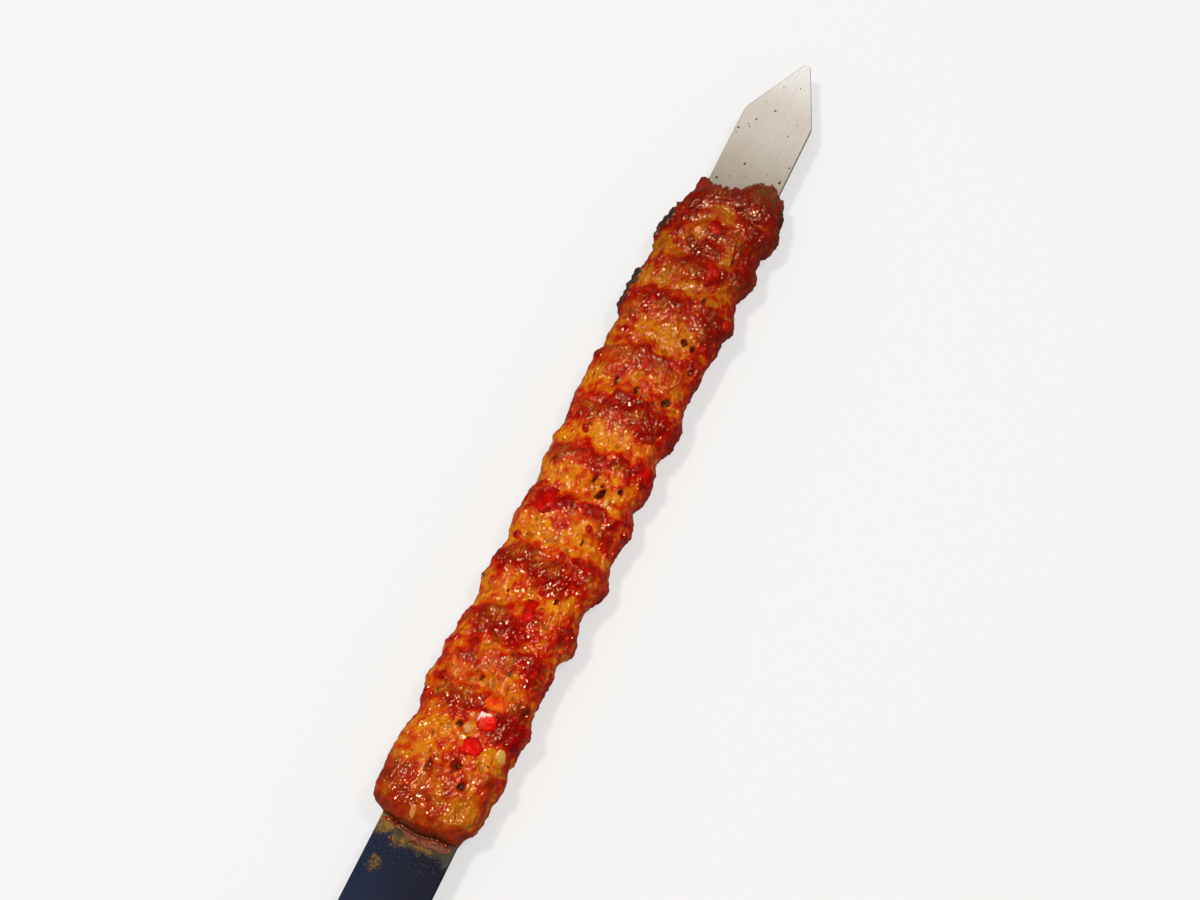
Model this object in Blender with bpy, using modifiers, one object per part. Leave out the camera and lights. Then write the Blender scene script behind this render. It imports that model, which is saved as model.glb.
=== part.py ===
"""Kofta skewer: spiced minced meat pressed by hand on a wide flat steel skewer and grilled.

Metres, +Z up. The skewer lies on its meat with the pressed side up. +X runs along the blade
towards its point, +Y across it, and the origin is on the table under the middle of the blade.
"""

import math

import bmesh
import bpy
from mathutils import Euler, Matrix, Vector, noise

MM = 0.001

# The blade is one strip of stainless steel, ground to a point at one end.
BLADE_LENGTH = 520 * MM
BLADE_WIDTH = 30 * MM
BLADE_THICKNESS = 2 * MM
BLADE_HEIGHT = 12 * MM  # of its middle plane above the table
POINT_LENGTH = 30 * MM  # from the shoulders to the rounded point
POINT_CUT = 3 * MM  # what the rounding took off the sharp point
POINT_OFFSET = -1.2 * MM  # the point is ground a little to one side
SHOULDER_RADIUS = 9 * MM
END_RADIUS = 5 * MM  # the corners of the plain end
EDGE_BEVEL = 0.35 * MM

# The meat is moulded round the blade. Distances along it run from its end near the point.
MEAT_FRONT_X = 188 * MM
MEAT_LENGTH = 299 * MM
MEAT_HALF_WIDTH = 20.9 * MM
MEAT_HALF_THICKNESS = 11.5 * MM
MEAT_SIDE_SHIFT = 1.3 * MM  # it sits a little to the +Y side of the blade
SECTION_POWER = 2.4  # 2 is an ellipse, and more is squarer
RIDGE_HEIGHT = 1.3 * MM
RIDGE_SLANT = 0.12  # how far back a ridge has run for each unit it goes to the +Y side
LUMP_HEIGHT = 0.7 * MM
LUMP_SIZE = 10 * MM

# Fingers pinch the meat all the way down, and each crest stands between two pinches.
CRESTS = [distance * MM for distance in (9, 28, 43, 64, 92, 116, 140, 163, 187, 211, 229, 247, 272)]
CREST_BEFORE = -12 * MM
CREST_AFTER = 294 * MM

# At the front the meat opens out from a lip. At the back it steps down to a collar on the blade.
LIP_HALF_WIDTH = 18.2 * MM
LIP_HALF_THICKNESS = 5 * MM
WIDTH_ROUNDING = 26 * MM
THICKNESS_ROUNDING = 12 * MM
BACK_ROUNDING = 8 * MM
COLLAR_LENGTH = 3.5 * MM
COLLAR_HALF_WIDTH = 15.9 * MM
COLLAR_HALF_THICKNESS = 2.4 * MM

# How finely the solid follows those shapes.
MEAT_SIDES = 40
BODY_STEP = 3.6 * MM
END_STEP = 1.2 * MM
END_ZONE = 11 * MM

GAP = 0.3 * MM  # between pieces that touch

# Diced red pepper that shows in the meat's face, in mm: how far along the meat, how far across
# the blade, its length, width and depth, and the degrees that it is turned.
PEPPERS = {
    "pepper_dice_1": (46, -6, 6.5, 6.0, 4.0, 20),
    "pepper_dice_2": (136, -18, 8.6, 5.2, 3.4, 8),
    "pepper_dice_3": (162, 11, 8.6, 8.2, 4.2, 35),
    "pepper_dice_4": (206, -2.5, 9.6, 5.8, 4.2, 14),
    "pepper_dice_5": (243.2, -6.5, 6.8, 7.4, 4.2, 6),
    "pepper_dice_6": (250.2, -6.3, 5.2, 6.0, 4.2, -4),
    "pepper_dice_7": (250.5, -17.6, 8.4, 6.0, 3.4, 24),
    "pepper_dice_8": (261, -5.5, 6.4, 7.4, 4.2, 24),
}
PEPPER_PROUD = 0.6 * MM
PEPPER_ROUNDING = 1.4 * MM
PEPPER_TAPER = 0.8  # its underside for its top
PEPPER_LEVELLING = 6 * MM  # it lies along the meat as it runs over this distance

STEEL_COLOUR = (0.62, 0.59, 0.53, 1)
MEAT_COLOUR = (0.42, 0.075, 0.018, 1)
PEPPER_COLOUR = (0.62, 0.006, 0.004, 1)


def clear_scene():
    for obj in list(bpy.data.objects):
        bpy.data.objects.remove(obj)


def new_collection(name):
    collection = bpy.data.collections.new(name)
    bpy.context.scene.collection.children.link(collection)
    return collection


def material(name, colour, roughness, metallic=0.0):
    made = bpy.data.materials.new(name)
    made.use_nodes = True
    shader = made.node_tree.nodes["Principled BSDF"]
    shader.inputs["Base Color"].default_value = colour
    shader.inputs["Roughness"].default_value = roughness
    shader.inputs["Metallic"].default_value = metallic
    made.diffuse_color = colour
    return made


def mesh_object(name, bm, collection, finish=None):
    """The bmesh as a smooth-shaded object."""
    mesh = bpy.data.meshes.new(name)
    bm.to_mesh(mesh)
    bm.free()
    mesh.shade_smooth()
    mesh.set_sharp_from_angle(angle=math.radians(35))
    obj = bpy.data.objects.new(name, mesh)
    if finish:
        mesh.materials.append(finish)
    collection.objects.link(obj)
    return obj


def as_cutter(obj):
    obj.hide_render = True
    obj.display_type = "WIRE"
    return obj


def quarter_round(share):
    """Rises from 0 to 1 as a quarter of a circle does."""
    share = min(max(share, 0.0), 1.0)
    return math.sqrt(1 - (1 - share) ** 2)


# ---- the blade ----


def rounded_corner(before, corner, after, radius, steps=6):
    """Points of the arc that rounds one corner of an outline."""
    to_before = (before - corner).normalized()
    to_after = (after - corner).normalized()
    half_angle = to_before.angle(to_after) / 2
    inward = (to_before + to_after).normalized()
    centre = corner + inward * (radius / math.sin(half_angle))
    start = corner + to_before * (radius / math.tan(half_angle)) - centre
    sweep = start.angle_signed(corner + to_after * (radius / math.tan(half_angle)) - centre)
    return [
        centre + Matrix.Rotation(-sweep * step / steps, 2) @ start for step in range(steps + 1)
    ]


def blade_outline():
    """The strip's flat outline, going round from the plain end, with every corner an arc."""
    side = BLADE_WIDTH / 2
    back = -BLADE_LENGTH / 2
    shoulder = BLADE_LENGTH / 2 - POINT_LENGTH
    sharp = BLADE_LENGTH / 2 + POINT_CUT
    half_point = math.atan2(side, POINT_LENGTH + POINT_CUT)
    point_radius = POINT_CUT / (1 / math.sin(half_point) - 1)
    corners = [
        (Vector((back, -side)), END_RADIUS),
        (Vector((shoulder, -side)), SHOULDER_RADIUS),
        (Vector((sharp, POINT_OFFSET)), point_radius),
        (Vector((shoulder, side)), SHOULDER_RADIUS),
        (Vector((back, side)), END_RADIUS),
    ]
    outline = []
    for index, (corner, radius) in enumerate(corners):
        before = corners[index - 1][0]
        after = corners[(index + 1) % len(corners)][0]
        outline += rounded_corner(before, corner, after, radius)
    return outline


def flat_strip(name, collection):
    """The outline as a filled 2D curve, made a mesh with its caps welded on."""
    curve = bpy.data.curves.new(name, "CURVE")
    curve.dimensions = "2D"
    curve.fill_mode = "BOTH"
    curve.extrude = BLADE_THICKNESS / 2
    points = blade_outline()
    spline = curve.splines.new("POLY")
    spline.use_cyclic_u = True
    spline.points.add(len(points) - 1)
    for place, point in zip(spline.points, points):
        place.co = (point.x, point.y, 0, 1)
    guide = bpy.data.objects.new(name + "_outline", curve)
    collection.objects.link(guide)
    graph = bpy.context.evaluated_depsgraph_get()
    mesh = bpy.data.meshes.new_from_object(guide.evaluated_get(graph))
    bpy.data.objects.remove(guide)
    bm = bmesh.new()
    bm.from_mesh(mesh)
    bpy.data.meshes.remove(mesh)
    bmesh.ops.remove_doubles(bm, verts=bm.verts, dist=0.01 * MM)
    bmesh.ops.dissolve_limit(bm, angle_limit=math.radians(1), verts=bm.verts, edges=bm.edges)
    bmesh.ops.recalc_face_normals(bm, faces=bm.faces)
    return bm


def build_blade(collection):
    steel = material("satin_steel", STEEL_COLOUR, 0.32, 1.0)
    blade = mesh_object("skewer_blade", flat_strip("skewer_blade", collection), collection, steel)
    blade.location.z = BLADE_HEIGHT
    bevel = blade.modifiers.new("worn_edges", "BEVEL")
    bevel.width = EDGE_BEVEL
    bevel.segments = 2
    bevel.limit_method = "ANGLE"
    bevel.angle_limit = math.radians(50)
    return blade


def slot_cutter(collection):
    """The space that the blade takes up inside the meat, with the gap all round it."""
    bm = bmesh.new()
    bmesh.ops.create_cube(bm, size=1)
    reach = 20 * MM
    size = (MEAT_LENGTH + 2 * reach, BLADE_WIDTH + 2 * GAP, BLADE_THICKNESS + 2 * GAP)
    bmesh.ops.scale(bm, vec=size, verts=bm.verts)
    cutter = mesh_object("blade_slot", bm, collection)
    cutter.location = (MEAT_FRONT_X - MEAT_LENGTH / 2, 0, BLADE_HEIGHT)
    return as_cutter(cutter)


# ---- the meat ----


def ridge(distance):
    """From -1 in a pinch to 1 on a crest. The front of each crest is steeper than its back."""
    crests = [CREST_BEFORE, *CRESTS, CREST_AFTER]
    for ahead, behind in zip(crests, crests[1:]):
        if distance <= behind:
            share = max(distance - ahead, 0) / (behind - ahead)
            return math.cos(2 * math.pi * share**1.35)
    return 0.0


def lumps(distance, around):
    """Uneven kneading, the same at the start and end of a turn round the meat."""
    place = Vector(
        (distance, MEAT_HALF_WIDTH * math.cos(around), MEAT_HALF_THICKNESS * math.sin(around))
    )
    return noise.noise(place / LUMP_SIZE) + 0.5 * noise.noise(place * 2.1 / LUMP_SIZE)


def half_sizes(distance):
    """Half the meat's width and thickness at a distance, before ridges and lumps, and how
    near it is to full size."""
    opening = quarter_round(distance / WIDTH_ROUNDING)
    width = LIP_HALF_WIDTH + (MEAT_HALF_WIDTH - LIP_HALF_WIDTH) * opening
    thickening = quarter_round(distance / THICKNESS_ROUNDING)
    thickness = LIP_HALF_THICKNESS + (MEAT_HALF_THICKNESS - LIP_HALF_THICKNESS) * thickening
    back = quarter_round((MEAT_LENGTH - COLLAR_LENGTH - distance) / BACK_ROUNDING)
    width = COLLAR_HALF_WIDTH + (width - COLLAR_HALF_WIDTH) * back
    thickness = COLLAR_HALF_THICKNESS + (thickness - COLLAR_HALF_THICKNESS) * back
    return width, thickness, min(opening, back)


def meat_point(distance, around):
    """A point of the meat's skin, at a distance along it and an angle round it."""
    width, thickness, fullness = half_sizes(distance)
    across = math.cos(around)
    upward = math.sin(around)
    bend = noise.noise(Vector((distance / (30 * MM), 2 * across, upward)))
    ridge_distance = distance + 2.5 * MM * bend - RIDGE_SLANT * across * width
    swell = RIDGE_HEIGHT * ridge(ridge_distance) + LUMP_HEIGHT * lumps(distance, around)
    swell *= 0.4 + 0.6 * fullness if distance < MEAT_LENGTH / 2 else fullness
    power = 2 / SECTION_POWER
    y = math.copysign(abs(across) ** power, across) * (width + swell)
    z = math.copysign(abs(upward) ** power, upward) * (thickness + swell)
    return Vector(
        (
            MEAT_FRONT_X - distance,
            MEAT_SIDE_SHIFT * fullness + y,
            max(BLADE_HEIGHT + z, 0.0),
        )
    )


def angle_at(across):
    """The angle round the meat at which its upper face is that far across the blade."""
    share = (across - MEAT_SIDE_SHIFT) / MEAT_HALF_WIDTH
    return math.acos(math.copysign(abs(share) ** (SECTION_POWER / 2), share))


def stations():
    """Distances of the section rings, closer together where the ends turn in."""
    distances = [0.0]
    while distances[-1] < MEAT_LENGTH - 0.5 * END_STEP:
        here = distances[-1]
        in_end = here < END_ZONE or here > MEAT_LENGTH - END_ZONE - COLLAR_LENGTH
        distances.append(here + (END_STEP if in_end else BODY_STEP))
    distances[-1] = MEAT_LENGTH
    return distances


def meat_skin():
    """A unit tube extruded ring by ring, then each ring's points moved on to the meat's skin."""
    bm = bmesh.new()
    bmesh.ops.create_circle(bm, segments=MEAT_SIDES, radius=1)
    bmesh.ops.rotate(bm, matrix=Matrix.Rotation(math.pi / 2, 3, "Y"), verts=bm.verts)
    ring = list(bm.edges)
    bmesh.ops.contextual_create(bm, geom=ring)
    distances = stations()
    for here, after in zip(distances, distances[1:]):
        grown = bmesh.ops.extrude_edge_only(bm, edges=ring)["geom"]
        ring = [item for item in grown if isinstance(item, bmesh.types.BMEdge)]
        corners = [item for item in grown if isinstance(item, bmesh.types.BMVert)]
        bmesh.ops.translate(bm, vec=(after - here, 0, 0), verts=corners)
    bmesh.ops.contextual_create(bm, geom=ring)
    for vert in bm.verts:
        vert.co = meat_point(vert.co.x, math.atan2(vert.co.z, vert.co.y))
    bmesh.ops.recalc_face_normals(bm, faces=bm.faces)
    return bm


def build_meat(collection, cutters):
    browned = material("browned_meat", MEAT_COLOUR, 0.35)
    meat = mesh_object("kofta_meat", meat_skin(), collection, browned)
    cut = meat.modifiers.new("slot_and_pockets", "BOOLEAN")
    cut.operation = "DIFFERENCE"
    cut.operand_type = "COLLECTION"
    cut.collection = cutters
    cut.solver = "EXACT"
    return meat


# ---- the diced pepper ----


def dice(name, size, collection, finish=None):
    """A block with rounded edges, narrower underneath, as a knife and the heat leave it."""
    bm = bmesh.new()
    bmesh.ops.create_cube(bm, size=1)
    bmesh.ops.scale(bm, vec=size, verts=bm.verts)
    for vert in bm.verts:
        if vert.co.z < 0:
            vert.co.x *= PEPPER_TAPER
            vert.co.y *= PEPPER_TAPER
    bmesh.ops.bevel(
        bm,
        geom=bm.edges[:],
        offset=PEPPER_ROUNDING,
        segments=2,
        profile=0.5,
        affect="EDGES",
        material=-1,
    )
    return mesh_object(name, bm, collection, finish)


def seat_on_meat(obj, distance, across, depth, turn):
    """Lays the piece in the meat's face, its top a little proud and its Z along the normal."""
    around = angle_at(across)
    here = meat_point(distance, around)
    along = meat_point(distance - PEPPER_LEVELLING, around)
    along -= meat_point(distance + PEPPER_LEVELLING, around)
    nudge = 0.06
    round_it = meat_point(distance, around + nudge) - meat_point(distance, around - nudge)
    normal = round_it.cross(along).normalized()
    side = normal.cross(along).normalized()
    axes = Matrix((along.normalized(), side, normal)).transposed()
    obj.rotation_euler = (axes @ Euler((0, 0, turn)).to_matrix()).to_euler()
    obj.location = here + normal * (PEPPER_PROUD - depth / 2)


def build_peppers(collection, cutters):
    red = material("red_pepper", PEPPER_COLOUR, 0.2)
    for name, (distance, across, length, width, depth, turn) in PEPPERS.items():
        size = Vector((length, width, depth)) * MM
        place = (distance * MM, across * MM, depth * MM, math.radians(turn))
        seat_on_meat(dice(name, size, collection, red), *place)
        room = Vector((2 * GAP, 2 * GAP, 2 * GAP))
        pocket = as_cutter(dice(name + "_pocket", size + room, cutters))
        seat_on_meat(pocket, *place)


def main():
    clear_scene()
    parts = new_collection("kofta_skewer")
    cutters = new_collection("cutters")
    cutters.hide_render = True
    slot_cutter(cutters)
    build_blade(parts)
    build_peppers(parts, cutters)
    build_meat(parts, cutters)


main()
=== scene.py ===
import math
import random

import bmesh
import bpy
import numpy as np
from mathutils import Matrix, Vector, noise
from mathutils.bvhtree import BVHTree


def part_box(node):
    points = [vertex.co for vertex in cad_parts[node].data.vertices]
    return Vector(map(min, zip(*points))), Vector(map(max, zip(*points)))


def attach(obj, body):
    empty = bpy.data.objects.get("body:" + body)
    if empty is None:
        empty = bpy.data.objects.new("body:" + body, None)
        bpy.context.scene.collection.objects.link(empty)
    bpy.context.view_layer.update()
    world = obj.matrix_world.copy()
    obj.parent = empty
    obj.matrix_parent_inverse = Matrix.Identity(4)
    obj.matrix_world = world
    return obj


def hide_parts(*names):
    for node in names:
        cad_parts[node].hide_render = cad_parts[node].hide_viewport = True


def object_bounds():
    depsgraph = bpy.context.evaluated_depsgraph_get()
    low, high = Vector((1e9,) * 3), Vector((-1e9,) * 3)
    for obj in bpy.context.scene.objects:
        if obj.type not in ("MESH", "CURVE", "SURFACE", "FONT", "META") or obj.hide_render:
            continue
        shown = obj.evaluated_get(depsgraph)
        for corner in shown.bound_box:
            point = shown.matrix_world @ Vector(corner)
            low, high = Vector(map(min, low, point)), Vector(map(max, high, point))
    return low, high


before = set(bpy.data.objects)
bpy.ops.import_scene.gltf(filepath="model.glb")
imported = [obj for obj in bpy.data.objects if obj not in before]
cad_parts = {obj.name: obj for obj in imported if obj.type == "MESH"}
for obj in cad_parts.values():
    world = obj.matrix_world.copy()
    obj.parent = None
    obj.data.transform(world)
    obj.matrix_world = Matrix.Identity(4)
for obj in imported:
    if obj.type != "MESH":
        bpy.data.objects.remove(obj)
cad_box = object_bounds()


# ---- The skewer's blade ----
# A strip of satin stainless steel, ground to a point, with its edges eased. The fire has blued
# it dark behind the meat. Its point is pale, painted brighter towards its tip as a reflection,
# and has caught a few burnt specks.

MM = 0.001
blade_low, blade_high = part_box("skewer_blade")
meat_low, meat_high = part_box("kofta_meat")
POINT_LENGTH = 32 * MM
BLUING_FADE = 30 * MM
OXIDE_DULLNESS = 0.8
SATIN_DULLNESS = 0.40


def paint(red, green, blue):
    """A colour as a screen shows it, from 0 to 255, made linear for the shader."""
    linear = [
        part / 255 / 12.92 if part <= 10 else ((part / 255 + 0.055) / 1.055) ** 2.4
        for part in (red, green, blue)
    ]
    return (*linear, 1)


def new_finish(name):
    """A material, and the node tree and shader that its pattern is built on."""
    material = bpy.data.materials.new(name)
    material.use_nodes = True
    tree = material.node_tree
    return material, tree, tree.nodes["Principled BSDF"]


def add(tree, kind, inputs=None, **settings):
    """A shader node. Each input is a value, or the socket that feeds it."""
    node = tree.nodes.new("ShaderNode" + kind)
    for name, value in settings.items():
        setattr(node, name, value)
    for name, value in (inputs or {}).items():
        if isinstance(value, bpy.types.NodeSocket):
            tree.links.new(value, node.inputs[name])
        else:
            node.inputs[name].default_value = value
    return node


def maths(tree, operation, first, second=0.0):
    return add(tree, "Math", {0: first, 1: second}, operation=operation).outputs[0]


def times(tree, first, second):
    return maths(tree, "MULTIPLY", first, second)


def plus(tree, first, second):
    return maths(tree, "ADD", first, second)


def minus(tree, first, second):
    return maths(tree, "SUBTRACT", first, second)


def between(tree, value, low, high):
    """0 where the value is at low and 1 where it is at high, with a soft start and end."""
    inputs = {"Value": value, "From Min": low, "From Max": high}
    return add(tree, "MapRange", inputs, interpolation_type="SMOOTHSTEP").outputs["Result"]


def spread(tree, value, low, high):
    """A value from 0 to 1 as one from low to high."""
    return add(tree, "MapRange", {"Value": value, "To Min": low, "To Max": high}).outputs["Result"]


def where(tree):
    """Where on the object a point is."""
    return add(tree, "TexCoord").outputs["Object"]


def along_and_across(tree):
    axes = add(tree, "SeparateXYZ", {"Vector": where(tree)}).outputs
    return axes["X"], axes["Y"]


def speckle(tree, size, stretch=1.0, detail=2.0, shift=0.0):
    """Noise whose lumps are about size across, drawn out along the skewer by stretch."""
    inputs = {"Vector": where(tree), "Location": (shift, 0, 0), "Scale": (1 / stretch, 1, 1)}
    shaped = add(tree, "Mapping", inputs).outputs[0]
    inputs = {"Vector": shaped, "Scale": 0.6 / size, "Detail": detail, "Roughness": 0.6}
    return add(tree, "TexNoise", inputs).outputs["Fac"]


def spots(tree, spacing, radius, softness=0.3):
    """Round spots, 1 inside, scattered about spacing apart."""
    inputs = {"Vector": where(tree), "Scale": 1 / spacing}
    cells = add(tree, "TexVoronoi", inputs).outputs["Distance"]
    edge = radius / spacing
    return between(tree, cells, edge * (1 + softness), edge * (1 - softness))


def marked(tree, name):
    """How much of a mark each point of the mesh holds."""
    return add(tree, "Attribute", attribute_name=name).outputs["Fac"]


def layer(tree, amount, under, over):
    """The colour over laid on the colour under, by amount."""
    node = add(tree, "Mix", {"Factor": amount}, data_type="RGBA")
    for socket, colour in ((node.inputs[6], under), (node.inputs[7], over)):
        if isinstance(colour, bpy.types.NodeSocket):
            tree.links.new(colour, socket)
        else:
            socket.default_value = colour
    return node.outputs[2]


def raise_surface(tree, shader, *patterns):
    """Raises the surface by each pattern in turn. Each is its height, strength and depth."""
    normal = None
    for height, strength, depth in patterns:
        inputs = {"Height": height, "Strength": strength, "Distance": depth}
        if normal is not None:
            inputs["Normal"] = normal
        normal = add(tree, "Bump", inputs).outputs["Normal"]
    tree.links.new(normal, shader.inputs["Normal"])


def steel_finish():
    material, tree, shader = new_finish("fire_blued_steel")
    along, across = along_and_across(tree)
    clouds = speckle(tree, 14 * MM, detail=3)
    brushing = speckle(tree, 0.4 * MM, stretch=22, detail=3)
    grit = speckle(tree, 0.5 * MM, detail=4, shift=0.2)

    # The pale end is a painted reflection: brightest at the point and greyer towards the meat.
    shoulder = blade_high.x - POINT_LENGTH
    reflection_at_point = between(tree, along, blade_high.x, shoulder)
    pale = layer(tree, reflection_at_point, paint(255, 253, 248), paint(222, 214, 202))
    reflection_fade = between(tree, along, shoulder, meat_high.x - 8 * MM)
    pale = layer(tree, reflection_fade, pale, paint(172, 161, 144))
    smears = times(tree, between(tree, clouds, 0.52, 0.7), 0.25)
    pale = layer(tree, smears, pale, paint(186, 170, 142))
    pale = layer(tree, times(tree, brushing, 0.10), pale, paint(150, 142, 130))
    thin_specks = spots(tree, 4.2 * MM, 0.30 * MM)
    thin_specks = times(tree, thin_specks, between(tree, clouds, 0.42, 0.6))
    pale = layer(tree, thin_specks, pale, paint(96, 74, 54))

    # The dark end is navy on one side and nearer purple on the other, with pale dust in its
    # pores beside the meat.
    to_left = between(tree, across, -11 * MM, 11 * MM)
    navy = layer(tree, to_left, paint(19, 21, 33), paint(17, 25, 46))
    near = between(tree, along, meat_low.x - 19 * MM, meat_low.x - 2 * MM)
    dust = between(tree, speckle(tree, 0.26 * MM, stretch=2.2, shift=0.3), 0.58, 0.70)
    dust = times(tree, dust, times(tree, near, 0.55))
    dark = layer(tree, dust, navy, paint(92, 90, 84))

    # Juices have dried yellow brown on it beside the meat, and in one patch further down.
    ragged = times(tree, speckle(tree, 4.5 * MM, detail=3, shift=0.5), 9 * MM)
    edge = plus(tree, along, ragged)
    dried = between(tree, edge, meat_low.x - 0.5 * MM, meat_low.x + 6.0 * MM)
    patch_x = maths(tree, "DIVIDE", minus(tree, along, meat_low.x - 11.5 * MM), 3.8 * MM)
    patch_y = maths(tree, "DIVIDE", minus(tree, across, 9.5 * MM), 3.2 * MM)
    patch = plus(tree, times(tree, patch_x, patch_x), times(tree, patch_y, patch_y))
    dried = maths(tree, "MAXIMUM", dried, times(tree, between(tree, patch, 1.7, 0.2), 0.50))
    crusted = plus(tree, times(tree, dried, 0.62), minus(tree, grit, 0.5))
    crusted = between(tree, crusted, 0.16, 0.56)
    tan = between(tree, speckle(tree, 2.4 * MM, detail=3, shift=0.9), 0.42, 0.60)
    stain = layer(tree, tan, paint(88, 76, 52), paint(160, 118, 48))
    stain = layer(tree, between(tree, across, -6 * MM, -12 * MM), stain, paint(84, 78, 68))
    dark = layer(tree, times(tree, crusted, 0.8), dark, stain)

    # The bluing starts somewhere under the meat.
    middle = (meat_low.x + meat_high.x) / 2
    blued = between(tree, along, middle + BLUING_FADE, middle - BLUING_FADE)
    tree.links.new(layer(tree, blued, pale, dark), shader.inputs["Base Color"])
    matt = times(tree, crusted, times(tree, blued, 0.35))
    rough = plus(tree, spread(tree, brushing, 0.24, 0.33), matt)
    tree.links.new(rough, shader.inputs["Roughness"])

    # Satin steel mirrors in part, its blue oxide less, and the dried juices not at all.
    dulled = maths(tree, "MAXIMUM", crusted, OXIDE_DULLNESS)
    bare = times(tree, minus(tree, 1.0, blued), SATIN_DULLNESS)
    dull = plus(tree, times(tree, dulled, blued), bare)
    metal = minus(tree, 1.0, dull)
    tree.links.new(metal, shader.inputs["Metallic"])
    shader.inputs["Specular IOR Level"].default_value = 0.04
    crust = times(tree, crusted, blued)
    raise_surface(tree, shader, (brushing, 0.15, 0.04 * MM), (crust, 0.5, 0.12 * MM))
    return material


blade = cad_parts["skewer_blade"]
blade.data.materials.clear()
blade.data.materials.append(steel_finish())


# ---- The meat ----
# Minced lamb kneaded with fat, onion and paprika, and pressed round the blade by wet fingers,
# which leave a crest every finger's width. The fire reddens the crests and leaves the pinches
# between them golden with fat, with small holes where the strands of mince pull apart.

MEAT_LENGTH = meat_high.x - meat_low.x
BLADE_MIDDLE = (blade_low.z + blade_high.z) / 2
RELIEF = 1.5 * MM  # how far crests and lumps stand out
HALF_WIDTH = (meat_high.y - meat_low.y) / 2 - RELIEF
HALF_THICKNESS = meat_high.z - BLADE_MIDDLE - RELIEF
SECTION_POWER = 2.4  # 2 would be an ellipse, and more is squarer
FRONT_ROUNDING = 13 * MM
BACK_ROUNDING = 8 * MM
FRONT_EDGE = 1.5 * MM  # half the meat's thickness where it ends
BACK_EDGE = 1.9 * MM
CORE_WIDTH, CORE_THICKNESS = 0.93, 0.3  # shares of an end's size, where it closes on the blade

# Each crest: how far along the meat, and how strongly it stands out and reddens.
CRESTS = [
    (-12, 1.0), (8, 1.0), (26, 0.5), (44, 0.9), (65, 1.0), (92, 1.0), (116, 1.0), (140, 0.9),
    (163, 0.9), (187, 1.0), (212, 0.9), (228, 0.4), (246, 0.9), (273, 0.4), (296, 0.5),
]
RIDGE_HEIGHT = 1.15 * MM
LEAN = 1.25  # over 1 makes a crest steeper on its side towards the point
THINNEST = 0.57  # how far from one crest to the next the meat is thinnest

# How far along, and how far from the blade's middle line, each side stands out at its crests and
# draws in at its pinches. Both sides end in a collar no wider than the blade.
LEFT_EDGE = [
    (0, 17.2), (3, 18.4), (8, 17.6), (14, 20.0), (20, 22.2), (27, 23.6), (34, 23.2), (41, 21.2),
    (46, 22.0), (52, 23.4), (58, 24.1), (67, 23.2), (74, 21.6), (82, 22.5), (86, 22.0), (92, 23.0),
    (102, 23.6), (112, 22.7), (118, 22.2), (125, 21.0), (133, 23.0), (139, 21.8), (143, 22.2),
    (151, 20.5), (160, 21.6), (165, 21.3), (170, 22.3), (178, 20.0), (187, 21.4), (196, 22.0),
    (206, 20.2), (217, 22.2), (226, 23.5), (232, 22.3), (241, 23.2), (250, 21.0), (256, 20.2),
    (264, 22.0), (274, 22.9), (286, 22.2), (289, 21.4), (291, 20.0), (292.6, 17.6), (294, 15.4),
    (299, 14.9),
]
RIGHT_EDGE = [
    (0, 19), (4, 20.6), (9, 21.4), (16, 22.7), (19, 22.1), (24, 19.3), (31, 19.1), (37, 21.9),
    (42, 20.9), (48, 18.5), (53, 19.1), (61, 22.3), (70, 20.1), (80, 19.6), (89, 19.2),
    (101, 18.4), (107, 21.1), (113, 21.6), (118, 21.1), (127, 18.1), (136, 20.6), (145, 20.1),
    (149, 18.5), (158, 21.6), (166, 20.1), (173, 19.1), (178, 20.9), (182, 22.7), (187, 21.7),
    (191, 19.9), (199, 18.5), (207, 21.2), (211, 21.1), (215, 19.1), (232, 18.3), (240, 18.9),
    (247, 21.5), (253, 19.6), (262, 19.1), (268, 20.5), (277, 18.8), (286, 18.9), (288, 17.8),
    (289.5, 15.8), (290.5, 15.1), (299, 14.9),
]
RING_SIDES = 192
RING_STEP = 0.62 * MM

# How far along the last pinch leaves a fold, painted dark as shade, before a thin lip of meat on
# the blade, and how wide and deep the fold is, all in mm.
FOLD = 295.2
FOLD_WIDTH = 0.55
FOLD_DEPTH = 0.5

# How much of each end is torn, bent by the last pinch, or ragged at its lip.
TORN_LENGTH = 14 * MM
BENT_FROM, BENT_TO = 4 * MM, 16 * MM
RAGGED_LENGTH = 2.4 * MM

# How far across, and how far down the blade the torn end reaches there.
TORN_EDGE = [
    (-21, -0.5), (-19, 0.5), (-17, 2.5), (-14, 6), (-12, 8), (-8, 6.6), (-5, 5), (-2, 1.2),
    (0, -0.8), (5, -2.3), (10, -1.5), (12, -2), (14, 1), (18, 2.8), (21, 1),
]

LEFT_CURVE = np.array(LEFT_EDGE, dtype=float).T
RIGHT_CURVE = np.array(RIGHT_EDGE, dtype=float).T
TORN_CURVE = np.array(TORN_EDGE, dtype=float).T


def soft_step(value, low, high):
    share = min(max((value - low) / (high - low), 0.0), 1.0)
    return share * share * (3 - 2 * share)


def quarter_round(share):
    share = min(max(share, 0.0), 1.0)
    return math.sqrt(1 - (1 - share) ** 2)


def uneven(place, size, seed=0.0):
    """Smooth noise, about 0.3 either way, with lumps about size across."""
    return noise.noise(place / size + Vector((seed, 2 * seed, 0)))


def crest_phase(distance):
    """How far a place is from the crest ahead of it to the one behind, and both strengths."""
    for (ahead, strength), (behind, next_strength) in zip(CRESTS, CRESTS[1:]):
        if distance <= behind * MM:
            share = max(distance - ahead * MM, 0) / ((behind - ahead) * MM)
            return share, strength, next_strength
    return 0.0, CRESTS[-1][1], CRESTS[-1][1]


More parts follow.
